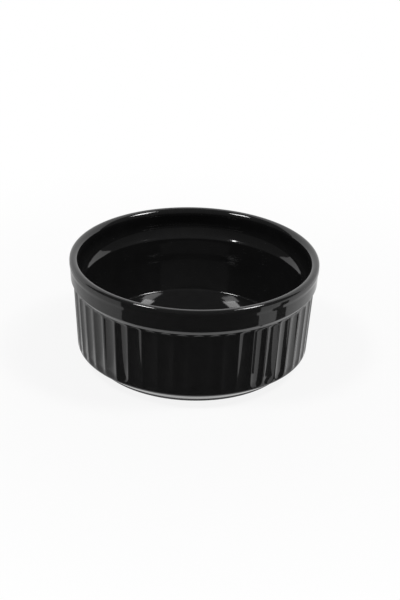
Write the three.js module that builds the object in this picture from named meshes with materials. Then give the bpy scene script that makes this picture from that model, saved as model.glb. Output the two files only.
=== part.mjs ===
// Fluted sauce bowl: a one-piece fired clay body, a glossy black glaze coat over the inside, the rim and
// the outside, and a second, separate patch of glaze in the recess under the base. The foot ring is bare.
// Millimetres, +Z up, origin at the centre of the plane that the foot rests on.
import * as THREE from "three";

// Overall size, measured over the glaze.
const rimDiameter = 90;
const height = 39.5;

// The rim: a rounded lip that stands a little proud of the walls below it, outside and inside.
const lipThickness = 3.2;
const lipOuterRound = 1.2;
const lipInnerRound = 1.9;
const lipHeight = 2.5;
const lipOverhang = 0.5;
const lipNeck = 1.2;
const lipNeckRound = 2;

// The plain band, and the sloping step from its lower edge to the fluted wall.
const bandHeight = 8.15;
const bandTaper = 0.2;
const bandEdgeRound = 0.8;
const bandStep = 1.1;
const bandStepHeight = 1.7;
const bandStepRound = 0.5;

// The fluted wall, measured over the ridges.
const wallTaper = 1.55;
const wallEdgeRound = 0.9;
const fluteCount = 48;
const fluteDepth = 0.42;
const fluteRunOut = 1.5;
const fluteMargin = 0.1;
const ridgeWidth = 0.5;

// The low foot ring, the underside that rises from it to the wall, and the recess inside it.
const footDiameter = 72;
const footWidth = 4;
const footHeight = 0.75;
const footDraft = 0.1;
const footEdgeRound = 0.3;
const footCornerRound = 0.4;
const baseRise = 4.35;
const recessDepth = 3.5;
const recessRound = 0.6;

// The inside: an upper wall, a cove that ends at an edge, a drafted lower wall and a rounded floor.
const edgeDrop = 11.2;
const coveWidth = 2.3;
const coveSlope = 2.74;
const edgeRound = 0.8;
const innerDraft = 3;
const floorHeight = 8;
const floorRound = 1.6;

// The glaze lies on the clay with a thin bond line, and stops short of the resting plane.
const glazeThickness = 0.4;
const bondLine = 0.05;
const glazeLine = 0.45;

// How finely the seen and the covered surfaces are divided.
const seenFaces = { round: 56, perFlute: 4, arcShare: 1, runOutRows: 2 };
const coveredFaces = { round: 36, perFlute: 3, arcShare: 0.5, runOutRows: 1 };

const rimRadius = rimDiameter / 2;
const clayInset = glazeThickness + bondLine;

// The corners of the bowl's half section, from the centre of the recess, under the foot, up the outside,
// over the lip and down to the centre of the floor, with the surface on the right hand. The corners at
// the foot lie one glaze thickness low, as if it were glazed too, so that the bare clay ends at z = 0.
function sectionCorners() {
  const footRadius = footDiameter / 2;
  const footInner = footRadius - footWidth;
  const resting = -clayInset;
  const bandFoot = height - bandHeight;
  const bandRadius = rimRadius - lipOverhang;
  const bandFootRadius = bandRadius - bandTaper;
  const wallTop = bandFoot - bandStepHeight;
  const wallRadius = bandFootRadius - bandStep;
  const wallFootRadius = wallRadius - wallTaper;
  const wallFoot = footHeight + baseRise;
  const innerRadius = rimRadius - lipThickness;
  const outerRound = Math.min(lipOuterRound, 0.38 * lipThickness);
  const innerRound = Math.min(lipInnerRound, 0.6 * lipThickness);
  const lipFoot = height - lipHeight;
  const upperRadius = innerRadius + lipOverhang;
  const edge = height - edgeDrop;
  const edgeRadius = upperRadius - coveWidth;
  const coveTop = edge + coveSlope;
  const coveSide = Math.min(Math.hypot(coveWidth, coveSlope) - edgeRound / 2, lipFoot - lipNeck - coveTop);
  const coveRound = (0.9 * coveSide) / Math.tan(Math.atan2(coveWidth, coveSlope) / 2);
  const footSide = (z) => footRadius + (footDraft * z) / footHeight;
  const recessSide = (z) => footInner - (footDraft * z) / footHeight;
  const roofRound = Math.min(recessRound, (recessDepth - glazeLine) / 2);
  return [
    { r: 0, z: recessDepth },
    { r: recessSide(recessDepth), z: recessDepth, round: roofRound, steps: 2 },
    { r: recessSide(glazeLine), z: glazeLine, name: "inner glaze line" },
    { r: recessSide(resting), z: resting, round: footEdgeRound + clayInset, steps: 2 },
    { r: footSide(resting), z: resting, round: footEdgeRound + clayInset, steps: 2 },
    { r: footSide(glazeLine), z: glazeLine, name: "outer glaze line" },
    { r: footSide(footHeight), z: footHeight, round: footCornerRound, steps: 1 },
    { r: wallFootRadius, z: wallFoot, round: wallEdgeRound, steps: 3, name: "wall foot", fluted: true },
    { r: wallRadius, z: wallTop, round: bandStepRound, steps: 1 },
    { r: bandFootRadius, z: bandFoot, round: bandEdgeRound, steps: 2 },
    { r: bandRadius, z: lipFoot - lipNeck, round: lipNeckRound, steps: 1 },
    { r: rimRadius, z: lipFoot, round: lipNeck, steps: 1 },
    { r: rimRadius, z: height, round: outerRound, steps: 4 },
    { r: innerRadius, z: height, round: innerRound, steps: 4 },
    { r: innerRadius, z: lipFoot, round: lipNeck, steps: 1 },
    { r: upperRadius, z: lipFoot - lipNeck, round: lipNeckRound, steps: 1 },
    { r: upperRadius, z: coveTop, round: coveRound, steps: 4 },
    { r: edgeRadius, z: edge, round: edgeRound, steps: 2 },
    { r: edgeRadius - innerDraft, z: floorHeight, round: floorRound, steps: 5 },
    { r: 0, z: floorHeight },
  ];
}

// A station is one point of the half section with its outward normal.
function station(r, z, heading, extra) {
  return { r, z, nr: Math.sin(heading), nz: -Math.cos(heading), ...extra };
}

// The section's corners become stations, each corner as an arc tangent to its two sides.
function roundCorners(corners, faces) {
  return corners.flatMap((corner, i) => {
    const before = corners[Math.max(i - 1, 0)];
    const after = corners[Math.min(i + 1, corners.length - 1)];
    const into = i ? Math.atan2(corner.z - before.z, corner.r - before.r) : 0;
    const out = i < corners.length - 1 ? Math.atan2(after.z - corner.z, after.r - corner.r) : into;
    if (!corner.round) return [station(corner.r, corner.z, i ? into : out, { name: corner.name })];
    const turn = Math.atan2(Math.sin(out - into), Math.cos(out - into));
    const side = corner.round * Math.tan(Math.abs(turn) / 2);
    const steps = Math.ceil(corner.steps * faces.arcShare);
    const start = new THREE.Vector2(corner.r - side * Math.cos(into), corner.z - side * Math.sin(into));
    const reach = corner.round * Math.sign(turn);
    const centre = new THREE.Vector2(start.x - reach * Math.sin(into), start.y + reach * Math.cos(into));
    return Array.from({ length: steps + 1 }, (_, k) => {
      const heading = into + (turn * k) / steps;
      const r = centre.x + reach * Math.sin(heading);
      const z = centre.y - reach * Math.cos(heading);
      const cut = corner.fluted && k ? fluteDepth * (k / steps) ** 2 : undefined;
      return station(r, z, heading, { name: k === steps ? corner.name : undefined, cut });
    });
  });
}

// Flutes run from the rounded lower edge of the wall up to its top, where they end in a round run-out.
function addFlutes(stations, faces) {
  const first = stations.findIndex((s) => s.name === "wall foot");
  const [low, high] = [stations[first], stations[first + 1]];
  const top = high.z - fluteMargin;
  const rows = faces.runOutRows;
  const shares = Array.from({ length: rows + 1 }, (_, k) => 1 - Math.cos((Math.PI * k) / (2 * rows)));
  const row = (z, share) => ({
    ...low,
    name: undefined,
    r: THREE.MathUtils.mapLinear(z, low.z, high.z, low.r, high.r),
    z,
    cut: fluteDepth * Math.sqrt(1 - (1 - share) ** 2),
  });
  const fall = shares.map((share) => row(top - fluteRunOut * share, share)).reverse();
  return [...stations.slice(0, first + 1), ...fall, ...stations.slice(first + 1)];
}

function section(faces) {
  return addFlutes(roundCorners(sectionCorners(), faces), faces);
}

function stretch(stations, from, to) {
  const at = (name) => stations.findIndex((s) => s.name === name);
  return stations.slice(from ? at(from) : 0, to ? at(to) + 1 : stations.length);
}

// Moves a run of stations into the clay along their normals.
function inset(stations, depth) {
  return stations.map((s) => ({ ...s, r: s.r && s.r - depth * s.nr, z: s.z - depth * s.nz }));
}

// The share of the flute depth cut at an angle: a shallow round channel between narrow ridges.
function channel(turns, radius) {
  const place = turns * fluteCount + 0.5;
  const acrossPitch = Math.abs(place - Math.round(place));
  const pitch = (2 * Math.PI * radius) / fluteCount;
  const halfChannel = (1 - ridgeWidth / pitch) / 2;
  return Math.max(0, 1 - (acrossPitch / halfChannel) ** 2);
}

// One ring of points round the axis, which starts on a ridge at -Y.
function ringPoints(s, faces) {
  if (!s.r) return [new THREE.Vector3(0, 0, s.z)];
  const count = s.cut === undefined ? faces.round : fluteCount * faces.perFlute;
  return Array.from({ length: count }, (_, k) => {
    const turns = k / count;
    const radius = s.r - (s.cut ? s.cut * channel(turns, s.r) : 0);
    const angle = 2 * Math.PI * turns - Math.PI / 2;
    return new THREE.Vector3(radius * Math.cos(angle), radius * Math.sin(angle), s.z);
  });
}

// Zips two rings of point numbers, of any two lengths, into triangles.
function zip(a, b) {
  const triangles = [];
  let [p, q] = [0, 0];
  while (p < a.length || q < b.length) {
    const alongA = q === b.length || (p < a.length && (p + 1) / a.length <= (q + 1) / b.length);
    const [here, there] = [a[p % a.length], b[q % b.length]];
    const next = alongA ? a[++p % a.length] : b[++q % b.length];
    if (next !== here && next !== there) triangles.push([here, next, there]);
  }
  return triangles;
}

// A closed surface is gathered from skins, which are runs of rings, and the edges that join them.
class ClosedSurface {
  points = [];
  triangles = [];

  ring(s, faces) {
    const first = this.points.length;
    this.points.push(...ringPoints(s, faces));
    return Array.from({ length: this.points.length - first }, (_, k) => first + k);
  }

  skin(stations, faces, facing = "out") {
    const rings = stations.map((s) => this.ring(s, faces));
    rings.slice(1).forEach((ring, i) => {
      const triangles = zip(rings[i], ring);
      this.triangles.push(...(facing === "out" ? triangles : triangles.map((t) => t.reverse())));
    });
    return rings;
  }

  edge(from, to) {
    this.triangles.push(...zip(from, to));
  }

  geometry() {
    const geometry = new THREE.BufferGeometry().setFromPoints(this.points);
    geometry.setIndex(this.triangles.flat());
    geometry.computeVertexNormals();
    return geometry;
  }
}

function clayBody() {
  const surface = new ClosedSurface();
  surface.skin(inset(section(coveredFaces), clayInset), coveredFaces);
  return surface.geometry();
}

// From the glaze line on the foot, up the outside, over the lip and down to the middle of the floor.
function glazeCoat() {
  const surface = new ClosedSurface();
  const seen = surface.skin(stretch(section(seenFaces), "outer glaze line"), seenFaces);
  const onClay = inset(stretch(section(coveredFaces), "outer glaze line"), glazeThickness);
  const covered = surface.skin(onClay, coveredFaces, "in");
  surface.edge(covered[0], seen[0]);
  return surface.geometry();
}

// Over the roof of the recess and down the inner side of the foot.
function baseGlaze() {
  const surface = new ClosedSurface();
  const seen = surface.skin(stretch(section(seenFaces), undefined, "inner glaze line"), seenFaces);
  const onClay = inset(stretch(section(coveredFaces), undefined, "inner glaze line"), glazeThickness);
  const covered = surface.skin(onClay, coveredFaces, "in");
  surface.edge(seen.at(-1), covered.at(-1));
  return surface.geometry();
}

function mesh(name, geometry, look) {
  const piece = new THREE.Mesh(geometry, new THREE.MeshStandardMaterial(look));
  piece.name = name;
  return piece;
}

const blackGlaze = { color: 0x0b0b0c, roughness: 0.06, metalness: 0 };
const firedClay = { color: 0xb9b1a5, roughness: 0.85, metalness: 0 };

const bowl = new THREE.Group();
bowl.add(
  mesh("clay_body", clayBody(), firedClay),
  mesh("glaze_coat", glazeCoat(), blackGlaze),
  mesh("base_glaze", baseGlaze(), blackGlaze),
);

export default bowl;
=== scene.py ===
# %% [markdown]
# # A fluted sauce bowl in black glaze
#
# The bowl is one piece of fired clay under a glossy black glaze: a rounded lip, a plain band, a wall of
# forty-eight upright flutes, and a low foot ring that stays bare. The packed model is loaded as a fixed
# frame. Each of its three nodes, the clay and two layers of glaze, then gets a finer piece with its real
# finish, and the CAD node is hidden behind it.

# %% Load the packed bowl
from math import atan2, cos, hypot, pi, radians, sin, tan

import bpy
from mathutils import Matrix, Vector


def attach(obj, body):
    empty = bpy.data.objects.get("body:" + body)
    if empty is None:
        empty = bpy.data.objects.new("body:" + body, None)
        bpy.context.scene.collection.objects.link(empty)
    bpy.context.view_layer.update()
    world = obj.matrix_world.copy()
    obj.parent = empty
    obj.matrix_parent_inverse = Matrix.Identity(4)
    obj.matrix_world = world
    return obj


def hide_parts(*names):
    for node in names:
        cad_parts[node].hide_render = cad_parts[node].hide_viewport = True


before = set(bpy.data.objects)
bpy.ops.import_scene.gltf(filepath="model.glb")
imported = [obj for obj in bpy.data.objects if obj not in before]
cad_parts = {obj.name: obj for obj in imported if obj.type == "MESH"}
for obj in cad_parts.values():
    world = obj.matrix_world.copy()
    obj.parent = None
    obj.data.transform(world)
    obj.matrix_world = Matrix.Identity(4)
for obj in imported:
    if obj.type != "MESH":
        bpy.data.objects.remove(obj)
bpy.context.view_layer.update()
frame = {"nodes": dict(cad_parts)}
print("nodes:", ", ".join(frame["nodes"]))

# %% [markdown]
# ## The sizes of the outside
#
# Blender works in metres, but a bowl is thought of in millimetres, so every size is written as a number
# times `mm`. They follow the bowl's half section from the rim, down the outside to the foot. The rim, the
# height and the number of flutes are those of the CAD model. Some other sizes are a few tenths of a
# millimetre fuller or softer than there, because the fine pieces follow the photograph's edges more closely.

# %% Sizes of the outside
mm = 0.001
rim_radius, height = 45 * mm, 39.5 * mm

lip_thickness, lip_height, lip_overhang, lip_neck = 3.2 * mm, 2.5 * mm, 0.25 * mm, 1.2 * mm
lip_foot = height - lip_height

band_height, band_taper = 7.95 * mm, 0.2 * mm
band_foot, band_radius = height - band_height, rim_radius - lip_overhang
band_foot_radius = band_radius - band_taper

step_height, step_depth, wall_taper = 1.65 * mm, 1 * mm, 1.55 * mm
wall_top, wall_top_radius = band_foot - step_height, band_foot_radius - step_depth
wall_foot, wall_foot_radius = 5.1 * mm, wall_top_radius - wall_taper
flute_count, flute_depth, ridge_width = 48, 0.55 * mm, 0.5 * mm

foot_radius, foot_width, foot_height, foot_draft = 36.2 * mm, 4 * mm, 0.75 * mm, 0.1 * mm
recess_top = 3.5 * mm
print(f"{flute_count} flutes on a pitch of {2 * pi * wall_top_radius / flute_count / mm:.2f} mm")

# %% [markdown]
# ## The sizes of the inside
#
# Under the lip a short upright wall turns through a hollow cove into a soft edge. Below that edge the wall
# leans in and bellies a little, and then meets the flat floor. The glaze is thin, so its thickness is the
# distance between two skins of the same form, with a hair's breadth left for the bond to the clay.

# %% Sizes of the inside and of the glaze
lip_inset, inner_neck = 0.5 * mm, 3 * mm
inner_radius = rim_radius - lip_thickness
upper_radius = inner_radius + lip_inset

edge_drop, cove_width, cove_height = 11.2 * mm, 2.3 * mm, 2.42 * mm
edge, edge_radius = height - edge_drop, upper_radius - cove_width
cove_top = edge + cove_height

inner_draft, floor_height = 3 * mm, 8 * mm
floor_radius = edge_radius - inner_draft
belly_out, belly_up, floor_tuck = 1.75 * mm, 8.8 * mm, 1 * mm
floor_row_radius = 12 * mm

glaze_thickness, bond_line, glaze_line = 0.4 * mm, 0.05 * mm, 0.15 * mm
clay_inset = glaze_thickness + bond_line
print(f"the wall is {(wall_top_radius - edge_radius) / mm:.2f} mm thick at its top, with the flutes uncut")

# %% [markdown]
# ## The corners of the half section
#
# A pot has a round form, so its shape is drawn once, as a half section, and turned round its axis. The
# corners run from the middle of the recess under the base, round the foot, up the outside, over the lip and
# down to the middle of the floor. Each one has a radius, a height, and the size and number of steps of its
# rounding. Nothing on a glazed pot has a sharp edge, and the rounding is what catches the light. A corner
# with no rounding only adds a row of points, which keeps the shading of a flat stretch from smearing.

# %% Corners of the half section
step_row = 0.1


def foot_side(z):
    return foot_radius + foot_draft * z / foot_height


def recess_side(z):
    return foot_radius - foot_width - foot_draft * z / foot_height


below_foot = [
    (0, recess_top, 0, 0),
    (recess_side(recess_top), recess_top, 0.6 * mm, 3),
    (recess_side(glaze_line), glaze_line, 0, 0),
    (recess_side(-clay_inset), -clay_inset, 0.5 * mm, 4),
    (foot_side(-clay_inset), -clay_inset, 0.5 * mm, 4),
    (foot_side(glaze_line), glaze_line, 0, 0),
]
outer_foot = [
    (foot_side(foot_height), foot_height, 0.4 * mm, 4),
    (wall_foot_radius, wall_foot, 0.9 * mm, 6),
]
rim = [
    (wall_top_radius + step_row * step_depth, wall_top + step_row * step_height, 0, 0),
    (band_foot_radius, band_foot, 0.8 * mm, 5),
    (band_radius, lip_foot - lip_neck, 2 * mm, 3),
    (rim_radius, lip_foot, 1.2 * mm, 3),
    (rim_radius, height, 1.2 * mm, 8),
    (inner_radius, height, 1.9 * mm, 9),
    (inner_radius, lip_foot, 1.2 * mm, 3),
]
inside = [
    (upper_radius, lip_foot - inner_neck, 4 * mm, 3),
    (upper_radius, cove_top, 6.6 * mm, 8),
    (edge_radius, edge, 0.8 * mm, 5),
    (floor_radius + belly_out, floor_height + belly_up, 40 * mm, 5),
    (floor_radius - floor_tuck, floor_height, 0.9 * mm, 6),
    (floor_row_radius, floor_height, 0, 0),
    (0, floor_height, 0, 0),
]
print(len(below_foot + outer_foot + rim + inside), "corners")

# %% [markdown]
# ## Where the flutes end
#
# A flute is a shallow round channel between two narrow ridges. At the bottom it fades out softly, just above
# the rounded lower edge of the wall. At the top it closes in a short run-out, right under the step to the
# band. Its points are moved row by row, so the section needs a row at each step of the two run-outs. Each row
# has a share: how wide the channel is there, as a part of its full width.

# %% Rows of points for the flutes
lower_run_out, upper_run_out, run_out_steps = 2.2 * mm, 0.8 * mm, 4
flute_bottom = wall_foot + 0.5 * mm
row_gap = 0.6 * mm
middle_row = height / 2 - 2 * mm


def wall_radius(z):
    climb = (z - wall_foot) / (wall_top - wall_foot)
    return wall_foot_radius + climb * (wall_top_radius - wall_foot_radius)


quarter_turns = [pi / 2 * k / run_out_steps for k in range(run_out_steps + 1)]
lower_rows = [(flute_bottom + lower_run_out * (1 - cos(turn)), sin(turn)) for turn in quarter_turns]
upper_rows = [(wall_top - upper_run_out * t, t**0.5) for t in (1, 0.6, 0.3, 0.1, 0)]
plain_rows = (lower_rows[-1][0] + row_gap, middle_row, upper_rows[0][0] - row_gap)
flute_rows = lower_rows + [(z, 1) for z in plain_rows] + upper_rows
wall = [(wall_radius(z), z, 0, 0) for z, share in flute_rows]
print(len(flute_rows), "rows up to", round(wall_top / mm, 2), "mm")

# %% [markdown]
# ## Selecting in code
#
# An operator acts on whatever is selected, so code needs a sure way to select. Points can only be marked in
# object mode and only be edited in edit mode. One helper leaves a single object selected, and the other
# marks the points that pass a test and goes back to edit mode.

# %% Helpers to open a piece and select its points
hair = 0.001 * mm


def open_alone(piece):
    if bpy.context.mode != "OBJECT":
        bpy.ops.object.mode_set(mode="OBJECT")
    bpy.ops.object.select_all(action="DESELECT")
    piece.select_set(True)
    bpy.context.view_layer.objects.active = piece


def select_points(piece, test):
    bpy.ops.object.mode_set(mode="EDIT")
    bpy.ops.mesh.select_all(action="DESELECT")
    bpy.ops.object.mode_set(mode="OBJECT")
    for point in piece.data.vertices:
        point.select = test(point.co)
    bpy.ops.object.mode_set(mode="EDIT")


print(f"points count as the same place within {hair / mm} mm")

# %% [markdown]
# ## Drawing the section
#
# A plane merged to one point is extruded from corner to corner, as a potter's template is cut. A vertex
# bevel then rounds the corners. The bevel is told how far to slide along both sides of a corner, which for a
# round of radius `r` is `r * tan(turn / 2)`. A curve could be drawn and converted instead, but then the
# number of steps in each rounding couldn't be chosen corner by corner.

# %% Draw the half section
def single_point(name, at):
    bpy.ops.object.select_all(action="DESELECT")
    bpy.ops.mesh.primitive_plane_add(size=mm)
    piece = bpy.context.object
    piece.name = name
    bpy.ops.object.mode_set(mode="EDIT")
    bpy.ops.mesh.merge(type="CENTER")
    bpy.ops.transform.translate(value=at)
    return piece


def turn_at(before, corner, after):
    into = atan2(corner[1] - before[1], corner[0] - before[0])
    out = atan2(after[1] - corner[1], after[0] - corner[0])
    return abs(atan2(sin(out - into), cos(out - into)))


def draw_section(name, corners):
    piece = single_point(name, (corners[0][0], 0, corners[0][1]))
    for before, after in zip(corners, corners[1:]):
        reach = (after[0] - before[0], 0, after[1] - before[1])
        bpy.ops.mesh.extrude_region_move(TRANSFORM_OT_translate={"value": reach})
    for before, corner, after in zip(corners, corners[1:], corners[2:]):
        radius, z, rounding, segments = corner
        if rounding:
            spot = Vector((radius, 0, z))
            select_points(piece, lambda point: (point - spot).length < hair)
            slide = rounding * tan(turn_at(before, corner, after) / 2)
            bpy.ops.mesh.bevel(offset=slide, segments=segments, affect="VERTICES", profile=0.5)
    bpy.ops.object.mode_set(mode="OBJECT")
    return piece


form = draw_section("bowl_form", below_foot + outer_foot + wall + rim + inside)
print(len(form.data.vertices), "points in the half section")

# %% [markdown]
# ## One flute, then forty-eight
#
# The section is spun through one flute's pitch only: half a ridge, the channel and half a ridge. Each spin
# leaves its last edge selected, so the next one carries on from there. The columns lie closer together near
# the ridges, where the channel bends most sharply against the light.

# %% Spin one slice
pitch = 2 * pi / flute_count
half_ridge = ridge_width / wall_top_radius / 2
channel = pitch - 2 * half_ridge
columns = (0, 0.5, 0.75, 0.9, 1)
half_channel = [(after - before) * channel / 2 for before, after in zip(columns, columns[1:])]

bpy.ops.object.mode_set(mode="EDIT")
bpy.ops.mesh.select_all(action="SELECT")
for angle in [half_ridge, *reversed(half_channel), *half_channel, half_ridge]:
    bpy.ops.mesh.spin(steps=1, angle=-angle, center=(0, 0, 0), axis=(0, 0, 1))
bpy.ops.object.mode_set(mode="OBJECT")
print(len(form.data.polygons), "faces in the slice")

# %% [markdown]
# ## Pressing the flute
#
# The channel has the shape of a shallow bow: deepest in the middle, and nothing at its two sides. It is
# pressed in by scaling its points towards the axis, one column of one row at a time. In the run-outs the bow
# gets narrower and shallower from row to row. A boolean cut would do it too, but it would leave ragged faces
# that a gloss shows at once.

# %% Press the flute into the slice
outer_skin = wall_foot_radius - 1.4 * mm


def across(point):
    return abs(atan2(point.y, point.x) - pitch / 2) / (channel / 2)


def press(row_z, column, depth):
    select_points(
        form,
        lambda point: abs(point.z - row_z) < hair
        and hypot(point.x, point.y) > outer_skin
        and abs(across(point) - column) < 0.01,
    )
    shrink = 1 - depth / wall_radius(row_z)
    bpy.ops.transform.resize(value=(shrink, shrink, 1), center_override=(0, 0, 0))


for column in columns[:-1]:
    for row_z, share in flute_rows:
        if share > column:
            press(row_z, column, flute_depth * (share**2 - column**2))
bpy.ops.object.mode_set(mode="OBJECT")
radii = [hypot(p.co.x, p.co.y) for p in form.data.vertices if abs(p.co.z - middle_row) < hair]
print(f"flute depth {(max(radii) - min(r for r in radii if r > outer_skin)) / mm:.2f} mm")

# %% [markdown]
# ## All the way round
#
# The finished slice is copied round the axis by a spin with duplicates. The copies only lie side by side, so
# their doubled points are merged, and the faces are then turned to point outwards. An array modifier round
# an empty would give the same ring.

# %% Copy the slice round the bowl
weld = 0.002 * mm

open_alone(form)
bpy.ops.object.mode_set(mode="EDIT")
bpy.ops.mesh.select_all(action="SELECT")
bpy.ops.mesh.spin(
    steps=flute_count - 1,
    angle=-pitch * (flute_count - 1),
    center=(0, 0, 0),
    axis=(0, 0, 1),
    dupli=True,
)
bpy.ops.mesh.select_all(action="SELECT")
bpy.ops.mesh.remove_doubles(threshold=weld)
bpy.ops.mesh.normals_make_consistent(inside=False)
bpy.ops.object.mode_set(mode="OBJECT")
print(len(form.data.polygons), "faces in the whole form")

# %% [markdown]
# ## Helpers for the three pieces
#
# The glaze coat, the patch of glaze in the recess and the clay are all taken from the one form, so they fit.
# Each piece starts as a copy. Faces that don't belong to it are deleted, and a Solidify modifier gives a
# skin its thickness.

# %% Helpers to copy, cut and thicken
smooth_angle = radians(50)


def copy_form(name):
    open_alone(form)
    bpy.ops.object.duplicate()
    piece = bpy.context.object
    piece.name = name
    piece.data.name = name
    return piece


def keep_faces(piece, test):
    bpy.ops.object.mode_set(mode="EDIT")
    bpy.ops.mesh.select_mode(type="FACE")
    bpy.ops.mesh.select_all(action="DESELECT")
    bpy.ops.object.mode_set(mode="OBJECT")
    for face in piece.data.polygons:
        face.select = not test(face)
    bpy.ops.object.mode_set(mode="EDIT")
    bpy.ops.mesh.delete(type="FACE")
    bpy.ops.mesh.select_mode(type="VERT")
    bpy.ops.object.mode_set(mode="OBJECT")


def thicken(piece, thickness):
    bpy.ops.object.modifier_add(type="SOLIDIFY")
    layer = piece.modifiers[-1]
    layer.thickness = thickness
    layer.offset = -1
    layer.use_even_offset = True
    bpy.ops.object.modifier_apply(modifier=layer.name)


def smooth(piece):
    open_alone(piece)
    bpy.ops.object.shade_smooth_by_angle(angle=smooth_angle)


def measure(piece):
    low = min(point.co.z for point in piece.data.vertices) / mm
    high = max(point.co.z for point in piece.data.vertices) / mm
    wide = max(hypot(point.co.x, point.co.y) for point in piece.data.vertices) / mm
    print(f"{piece.name}: {len(piece.data.polygons)} faces, z {low:.2f} to {high:.2f}, radius {wide:.2f} mm")


measure(form)

# %% [markdown]
# ## The two glazes
#
# The potter dips the pot and wipes the foot ring clean. So the coat runs without a break from the glaze line
# on the foot, over the lip and down to the floor, and the patch in the recess is a piece by itself. Both
# keep the faces that carry glaze and grow inwards, so that the outside keeps its size.

# %% The glaze coat and the base glaze
foot_middle = foot_radius - foot_width / 2
recess_limit = recess_top + 0.1 * mm


def is_base(face):
    return hypot(face.center.x, face.center.y) < foot_middle and face.center.z < recess_limit


def is_bare(face):
    return face.center.z < glaze_line


coat = copy_form("glaze_coat_fine")
keep_faces(coat, lambda face: not is_bare(face) and not is_base(face))
thicken(coat, glaze_thickness)
smooth(coat)
measure(coat)

base = copy_form("base_glaze_fine")
keep_faces(base, lambda face: is_base(face) and not is_bare(face))
thicken(base, glaze_thickness)
smooth(base)
measure(base)

# %% [markdown]
# ## The clay
#
# The clay is the whole form, shrunk by the thickness of the glaze and its bond. The form was drawn that much
# too deep at the foot, so the bare ring ends up level with the table. A scale would shrink the pot without
# thinning its wall, so each point is moved along its normal instead.

# %% The clay body
clay = copy_form("clay_body_fine")
bpy.ops.object.mode_set(mode="EDIT")
bpy.ops.mesh.select_all(action="SELECT")
bpy.ops.transform.shrink_fatten(value=-clay_inset, use_even_offset=True)
bpy.ops.object.mode_set(mode="OBJECT")
smooth(clay)
measure(clay)

open_alone(form)
bpy.ops.object.delete()

# %% [markdown]
# ## A class for shader maths
#
# A material is a net of nodes, and a formula drawn as nodes is hard to read. This class wraps one socket,
# so that `1 - mask * 2` adds the Math nodes by itself. Every other node comes from its `add` method.

# %% A socket that does arithmetic
class Wire:
    def __init__(self, tree, socket=None):
        self.tree = tree
        self.socket = socket

    def add(self, kind, settings=None, inputs=None, output=0):
        node = self.tree.nodes.new(kind)
        for name, value in (settings or {}).items():
            setattr(node, name, value)
        for name, value in (inputs or {}).items():
            if isinstance(value, Wire):
                self.tree.links.new(value.socket, node.inputs[name])
            else:
                node.inputs[name].default_value = value
        return Wire(self.tree, node.outputs[output])

    def also(self, output):
        return Wire(self.tree, self.socket.node.outputs[output])

    def into(self, socket):
        self.tree.links.new(self.socket, socket)

    def math(self, operation, first, second=0.0):
        return self.add("ShaderNodeMath", {"operation": operation}, {0: first, 1: second})

    def __add__(self, other):
        return self.math("ADD", self, other)

    __radd__ = __add__

    def __sub__(self, other):
        return self.math("SUBTRACT", self, other)

    def __rsub__(self, other):
        return self.math("SUBTRACT", other, self)

    def __mul__(self, other):
        return self.math("MULTIPLY", self, other)

    __rmul__ = __mul__

    def ramp(self, low, high):
        limits = {"From Min": low, "From Max": high, "Value": self}
        return self.add("ShaderNodeMapRange", {"interpolation_type": "SMOOTHSTEP"}, limits)

    def noise(self, scale, detail=2.0):
        return self.add("ShaderNodeTexNoise", None, {"Vector": self, "Scale": scale, "Detail": detail})

    # A Mix node has sockets of the same name for numbers, vectors and colours, so these go by number.
    def mix_colour(self, first, second):
        colours = {0: self, 6: (*first, 1), 7: (*second, 1)}
        return self.add("ShaderNodeMix", {"data_type": "RGBA"}, colours, output=2)


print("operators:", ", ".join(name for name in vars(Wire) if name.startswith("__r") or name == "__add__"))

# %% [markdown]
# ## The black glaze
#
# The glaze is black glass: hardly any colour of its own, a hard gloss, and a surface that ran and settled in
# the kiln, so it is never quite flat. Soft clouds in the gloss and a very low ripple are enough for that. The
# patterns read Object coordinates, which lie in the bowl itself, so they run over lip and flutes without a
# seam and need no picture.

# %% Black glaze
deep_black, soft_black = (0.012, 0.012, 0.0122), (0.0135, 0.0135, 0.0137)


def new_finish(name):
    finish = bpy.data.materials.new(name)
    finish.use_nodes = True
    return finish, Wire(finish.node_tree), finish.node_tree.nodes["Principled BSDF"].inputs


glaze, start, surface = new_finish("glossy_black_glaze")
on_bowl = start.add("ShaderNodeTexCoord", output="Object")
mottle = on_bowl.noise(260, 3).ramp(0.35, 0.65)
mottle.mix_colour(deep_black, soft_black).into(surface["Base Color"])

cloud = on_bowl.noise(90, 2).ramp(0.3, 0.7)
(0.055 + 0.02 * cloud).into(surface["Roughness"])

ripple = on_bowl.noise(130, 1) + 0.12 * on_bowl.noise(900, 1)
bump = start.add("ShaderNodeBump", None, {"Strength": 0.05, "Distance": 0.0004, "Height": ripple})
bump.into(surface["Normal"])
surface["IOR"].default_value = 1.52
print(len(glaze.node_tree.nodes), "nodes in the glaze")

# %% [markdown]
# ## The bare clay
#
# The foot ring stands in the kiln without glaze, or it would stick to the shelf. What shows there is fired
# clay: matt, slightly sandy, with a few darker specks. A fine noise with its low values cut off gives the
# specks, and a finer one as a bump gives the sand.

# %% Bare fired clay
clay_grey, speck_brown = (0.42, 0.4, 0.37), (0.2, 0.18, 0.16)

fired, start, surface = new_finish("bare_fired_clay")
on_clay = start.add("ShaderNodeTexCoord", output="Object")
specks = on_clay.noise(2600, 2).ramp(0.56, 0.7)
(specks * 0.6).mix_colour(clay_grey, speck_brown).into(surface["Base Color"])
(0.8 + 0.12 * on_clay.noise(700, 2)).into(surface["Roughness"])
grain = on_clay.noise(1800, 3)
bump = start.add("ShaderNodeBump", None, {"Strength": 0.4, "Distance": 0.0002, "Height": grain})
bump.into(surface["Normal"])
print(len(fired.node_tree.nodes), "nodes in the clay")

# %% [markdown]
# ## Tying the pieces to the frame
#
# Each fine piece gets its finish and then takes the place of its CAD node, which stays hidden for collision.
# The bowl has no moving parts, so all three pieces ride on the one body, `root`.

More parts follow.
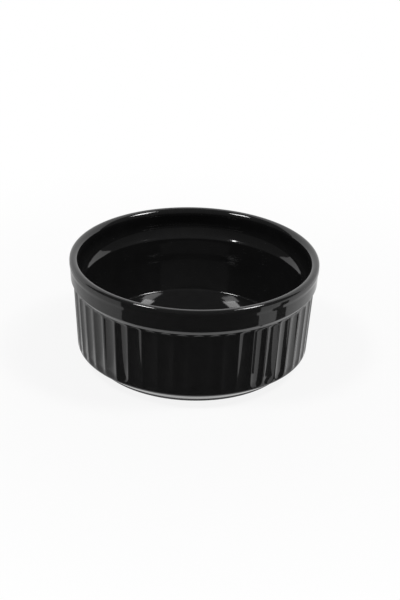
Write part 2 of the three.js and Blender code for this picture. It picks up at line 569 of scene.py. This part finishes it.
# %% Tie each piece to its node and body
for piece, node, finish, slot in (
    (coat, "glaze_coat", glaze, "black_glaze"),
    (base, "base_glaze", glaze, "black_glaze"),
    (clay, "clay_body", fired, "fired_clay"),
):
    piece.data.materials.clear()
    piece.data.materials.append(finish)
    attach(piece, "root")
    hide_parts(node)
    print(piece.name, "stands for", node)

# %% [markdown]
# ## The white sweep
#
# A black pot is drawn by what it mirrors, so the studio matters as much as the glaze. The bowl stands on a
# white sweep, a board that curves up into a wall behind it. The floor's back edge is extruded upwards, and
# the corner is rounded by a bevel, so that no line shows where the floor ends.

# %% White sweep
sweep_size, sweep_forward, sweep_rise, sweep_round = 5, 1.7, 1.8, 0.3

bpy.ops.object.select_all(action="DESELECT")
bpy.ops.mesh.primitive_plane_add(size=sweep_size, location=(0, -sweep_forward, 0))
sweep = bpy.context.object
sweep.name = "white_sweep"
bpy.ops.object.transform_apply(location=True, rotation=True, scale=True)
select_points(sweep, lambda point: point.y > 0)
bpy.ops.mesh.extrude_region_move(TRANSFORM_OT_translate={"value": (0, 0, sweep_rise)})
select_points(sweep, lambda point: point.y > 0 and point.z < 0.01)
bpy.ops.mesh.bevel(offset=sweep_round, segments=12, affect="EDGES")
bpy.ops.object.mode_set(mode="OBJECT")
smooth(sweep)
print("sweep of", len(sweep.data.polygons), "faces")

# %% [markdown]
# ## The white of the sweep
#
# To the camera and in reflections the sweep shows plain white, and close to the bowl some of the lit board
# comes through, so that the bowl keeps a soft shadow. Reflections, and only they, also see a painted shade
# mixed into that white: a slightly darker ring round the bowl, weaker on the right, and a little painted
# shade behind it, as on a table that is not lit quite evenly. The painted ring stops short of the wall,
# where the step mirrors the bright table.

# %% White of the sweep
ring_starts, ring_ends = (0.048, 0.056), (0.2, 0.4)
left_shade, right_gain, back_shade = 0.32, 0.2, 0.08

white, start, surface = new_finish("white_sweep")
surface["Base Color"].default_value = (0.86, 0.86, 0.86, 1)
surface["Roughness"].default_value = 0.9

camera_ray = start.add("ShaderNodeLightPath")
glossy_ray = camera_ray.also("Is Glossy Ray")
clear_ray = camera_ray.also("Is Transmission Ray")
seen = start.math("MAXIMUM", start.math("MAXIMUM", camera_ray, glossy_ray), clear_ray)

on_sweep = start.add("ShaderNodeTexCoord", output="Object")
away = start.add("ShaderNodeVectorMath", {"operation": "LENGTH"}, {0: on_sweep}, output="Value")
to_right = start.add("ShaderNodeSeparateXYZ", None, {0: on_sweep})
to_back = to_right.also("Y")

right = to_right.ramp(-0.03, 0.03)
painted_shade_ring = away.ramp(*ring_starts) - away.ramp(*ring_ends)
behind = to_back.ramp(0, 0.05) * (1 - away.ramp(0.12, 0.3))
# Painted shade: only reflections see the white darkened in a ring round the bowl, weaker on the right, and
# behind it.
shade = glossy_ray * ((left_shade - right_gain * right) * painted_shade_ring + back_shade * behind)
white_with_painted_shade = shade.mix_colour((1, 1, 1), (0, 0, 0))

glow = start.add("ShaderNodeEmission", None, {"Color": white_with_painted_shade, "Strength": 1.0})
lit = Wire(start.tree, white.node_tree.nodes["Principled BSDF"].outputs[0])
glow_share = seen * (0.88 + 0.12 * away.ramp(0.05, 0.2))
shown = start.add("ShaderNodeMixShader", None, {0: glow_share, 1: lit, 2: glow})
shown.into(white.node_tree.nodes["Material Output"].inputs["Surface"])
sweep.data.materials.append(white)
print(len(white.node_tree.nodes), "nodes in the sweep")

# %% [markdown]
# ## A black card for a dark reflection in front
#
# A card that only reflections see lies in front of the bowl. It paints a dark reflection: it keeps the
# front of the wall and the band dark. Its inner edge is an arc a few millimetres from the wall, spun from
# one point, and its outer edge is the same arc, widened and flattened far in front. The camera, diffuse
# light and shadows don't see it.

# %% Black card in front, painting a dark reflection
card_height = 1 * mm
arc_from, arc, arc_steps, arc_radius = radians(-43), radians(82), 16, 47 * mm
card_spread, card_front = 110, -1.8


# A board that only reflections see paints a dark reflection on the glaze.
def only_mirrored(board):
    board.visible_camera = False
    board.visible_diffuse = False
    board.visible_shadow = False


dark_reflection_finish, start, surface = new_finish("dark_reflection_card")
surface["Base Color"].default_value = (0.03, 0.03, 0.03, 1)

arc_start = (arc_radius * sin(arc_from), -arc_radius * cos(arc_from), card_height)
dark_reflection_sheet = single_point("dark_reflection_card", arc_start)
bpy.ops.mesh.spin(steps=arc_steps, angle=-arc, center=(0, 0, 0), axis=(0, 0, 1))
bpy.ops.mesh.select_all(action="SELECT")
bpy.ops.mesh.extrude_region_move(TRANSFORM_OT_translate={"value": (0, 0, 0)})
bpy.ops.transform.resize(value=(card_spread, 0, 1), center_override=(0, card_front, 0))
bpy.ops.object.mode_set(mode="OBJECT")
dark_reflection_sheet.data.materials.append(dark_reflection_finish)
only_mirrored(dark_reflection_sheet)
print("card of", len(dark_reflection_sheet.data.polygons), "faces")

# %% [markdown]
# ## A black strip for a dark reflection on the right
#
# A narrow strip of the same card, which only reflections see, lies on the right and gets wider away from
# the bowl. It paints a dark reflection: the dark stripe across the right end of the band and the dark lines
# in the flutes below it. A plane is stretched to its size, and its far edge is then widened.

# %% Black strip on the right, painting a dark reflection
strip_at = (77 * mm, -31 * mm, card_height)
strip_length, strip_width = 78, 9
strip_flare, flare_from = 2.1, -34 * mm

bpy.ops.object.select_all(action="DESELECT")
bpy.ops.mesh.primitive_plane_add(size=mm, location=strip_at)
strip = bpy.context.object
strip.name = "dark_reflection_strip"
bpy.ops.object.mode_set(mode="EDIT")
bpy.ops.mesh.select_all(action="SELECT")
bpy.ops.transform.resize(value=(strip_length, strip_width, 1))
select_points(strip, lambda point: point.x > 0)
bpy.ops.transform.resize(value=(1, strip_flare, 1), center_override=(0, flare_from, 0))
bpy.ops.object.mode_set(mode="OBJECT")
strip.data.materials.append(dark_reflection_finish)
# Only reflections see the strip; it paints a dark reflection.
only_mirrored(strip)
print("strip of", [round(v / mm) for v in strip.dimensions], "mm")

# %% [markdown]
# ## The softboxes
#
# Two softboxes stand high on each side and give the short bright dashes on the lip and the patches on the
# floor of the bowl. Each is an area lamp that is placed by the direction it shines from and turned to face
# the bowl. They are small, so the dashes stay short, and at a plain level, so black stays black.

# %% Softboxes
lamp_distance = 0.9
softboxes = (
    ("softbox_left", (-0.459, -0.224, 0.86), 0.2, 0.12, 2.4),
    ("softbox_right", (0.532, -0.094, 0.8415), 0.2, 0.12, 2.4),
    ("softbox_left_high", (-0.402, -0.131, 0.906), 0.2, 0.09, 0.7),
    ("softbox_right_high", (0.422, -0.015, 0.906), 0.2, 0.15, 1.16),
)
for name, direction, wide, tall, power in softboxes:
    stand = Vector(direction).normalized() * lamp_distance
    bpy.ops.object.light_add(type="AREA", location=stand)
    lamp = bpy.context.object
    lamp.name = name
    lamp.rotation_euler = stand.to_track_quat("Z", "Y").to_euler()
    lamp.data.shape = "RECTANGLE"
    lamp.data.size = wide
    lamp.data.size_y = tall
    lamp.data.energy = power
    print(f"{name}: {power} W, {wide} by {tall} m")

# %% [markdown]
# ## The dark room
#
# Above the sweep lies the room. It is dim, so that the inside of the bowl mirrors darkness, but the camera
# itself sees white there, as it does on the sweep.

# %% Dark room
room_level = 0.08

world = bpy.data.worlds.new("studio")
world.use_nodes = True
camera_ray = Wire(world.node_tree).add("ShaderNodeLightPath")
sky = camera_ray.mix_colour((room_level, room_level, room_level), (1, 1, 1))
sky.into(world.node_tree.nodes["Background"].inputs["Color"])
bpy.context.scene.world = world
print("room at a level of", room_level)

# %% [markdown]
# ## The camera
#
# The camera looks down at the bowl from the front by 26 degrees, from 60 cm away, with a slight roll. Its
# lens is found from the size of the bowl in the picture: a focal length in pixels, over the 600 pixels of
# the picture's long side, times the 36 mm of the sensor. The small shift centres the picture.

# %% Camera
elevation, aside, roll = radians(26.38), radians(0.8), radians(1.72)
camera_distance = 0.6
aim = Vector((0, 0, 22 * mm))
sensor, long_side, focal_pixels = 36, 600, 1645.2
shift_right, shift_up = 6.67, -0.97

level = Vector((sin(aside), -cos(aside), 0))
viewpoint = aim + camera_distance * (cos(elevation) * level + sin(elevation) * Vector((0, 0, 1)))
bpy.ops.object.camera_add(location=viewpoint)
camera = bpy.context.object
facing = (viewpoint - aim).to_track_quat("Z", "Y").to_matrix()
camera.rotation_euler = (facing @ Matrix.Rotation(roll, 3, "Z")).to_euler()
camera.data.lens = sensor * focal_pixels / long_side
camera.data.shift_x = shift_right / long_side
camera.data.shift_y = shift_up / long_side
bpy.context.scene.camera = camera
bpy.context.scene.view_settings.view_transform = "Standard"
print("camera at", [round(v, 4) for v in camera.location])

# %% [markdown]
